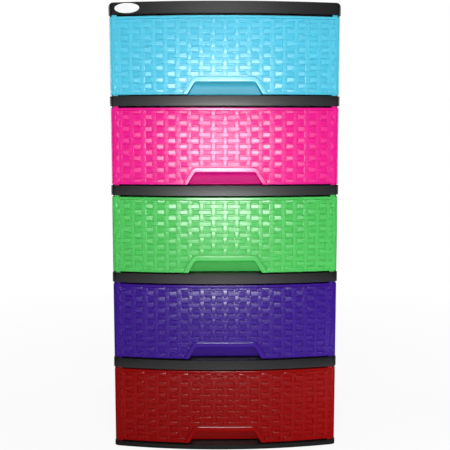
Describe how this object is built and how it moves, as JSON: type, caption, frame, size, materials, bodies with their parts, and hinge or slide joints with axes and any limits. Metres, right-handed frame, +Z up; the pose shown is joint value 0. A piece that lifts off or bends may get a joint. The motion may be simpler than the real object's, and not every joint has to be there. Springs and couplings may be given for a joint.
{
  "type": "plastic drawer tower",
  "caption": "Free-standing plastic drawer tower with a dark frame and bowed, woven-look drawer fronts with finger notches; the drawers slide out.",
  "frame": {"origin": "on the floor, in the middle of the footprint", "axes": "+Z up, the drawers open towards -Y, +X to the right of someone facing the drawers"},
  "size_m": [0.4, 0.4, 0.784],
  "materials": {
    "frame_plastic": "satin, charcoal, moulded",
    "label_white": "gloss, blank",
    "drawer_blue": "gloss, moulded basket weave",
    "drawer_pink": "gloss, moulded basket weave",
    "drawer_green": "gloss, moulded basket weave",
    "drawer_purple": "gloss, moulded basket weave",
    "drawer_red": "gloss, moulded basket weave"
  },
  "bodies": {
    "tower": {"top_cover": "frame_plastic", "oval_label": "label_white", "base_frame": "frame_plastic", "divider_1": "frame_plastic", "divider_2": "frame_plastic", "divider_3": "frame_plastic", "divider_4": "frame_plastic", "side_panel_left_1": "frame_plastic", "side_panel_left_2": "frame_plastic", "side_panel_left_3": "frame_plastic", "side_panel_left_4": "frame_plastic", "side_panel_left_5": "frame_plastic", "side_panel_right_1": "frame_plastic", "side_panel_right_2": "frame_plastic", "side_panel_right_3": "frame_plastic", "side_panel_right_4": "frame_plastic", "side_panel_right_5": "frame_plastic", "back_panel_1": "frame_plastic", "back_panel_2": "frame_plastic", "back_panel_3": "frame_plastic", "back_panel_4": "frame_plastic", "back_panel_5": "frame_plastic"},
    "drawer_1": {"drawer_tray_1": "drawer_blue", "drawer_front_1": "drawer_blue"},
    "drawer_2": {"drawer_tray_2": "drawer_pink", "drawer_front_2": "drawer_pink"},
    "drawer_3": {"drawer_tray_3": "drawer_green", "drawer_front_3": "drawer_green"},
    "drawer_4": {"drawer_tray_4": "drawer_purple", "drawer_front_4": "drawer_purple"},
    "drawer_5": {"drawer_tray_5": "drawer_red", "drawer_front_5": "drawer_red"}
  },
  "joints": [
    {"name": "drawer_1_slide", "type": "slide", "parent": "tower", "child": "drawer_1", "axis": [0, -1, 0], "range_m": [0, 0.285]},
    {"name": "drawer_2_slide", "type": "slide", "parent": "tower", "child": "drawer_2", "axis": [0, -1, 0], "range_m": [0, 0.285]},
    {"name": "drawer_3_slide", "type": "slide", "parent": "tower", "child": "drawer_3", "axis": [0, -1, 0], "range_m": [0, 0.285]},
    {"name": "drawer_4_slide", "type": "slide", "parent": "tower", "child": "drawer_4", "axis": [0, -1, 0], "range_m": [0, 0.285]},
    {"name": "drawer_5_slide", "type": "slide", "parent": "tower", "child": "drawer_5", "axis": [0, -1, 0], "range_m": [0, 0.285]}
  ]
}
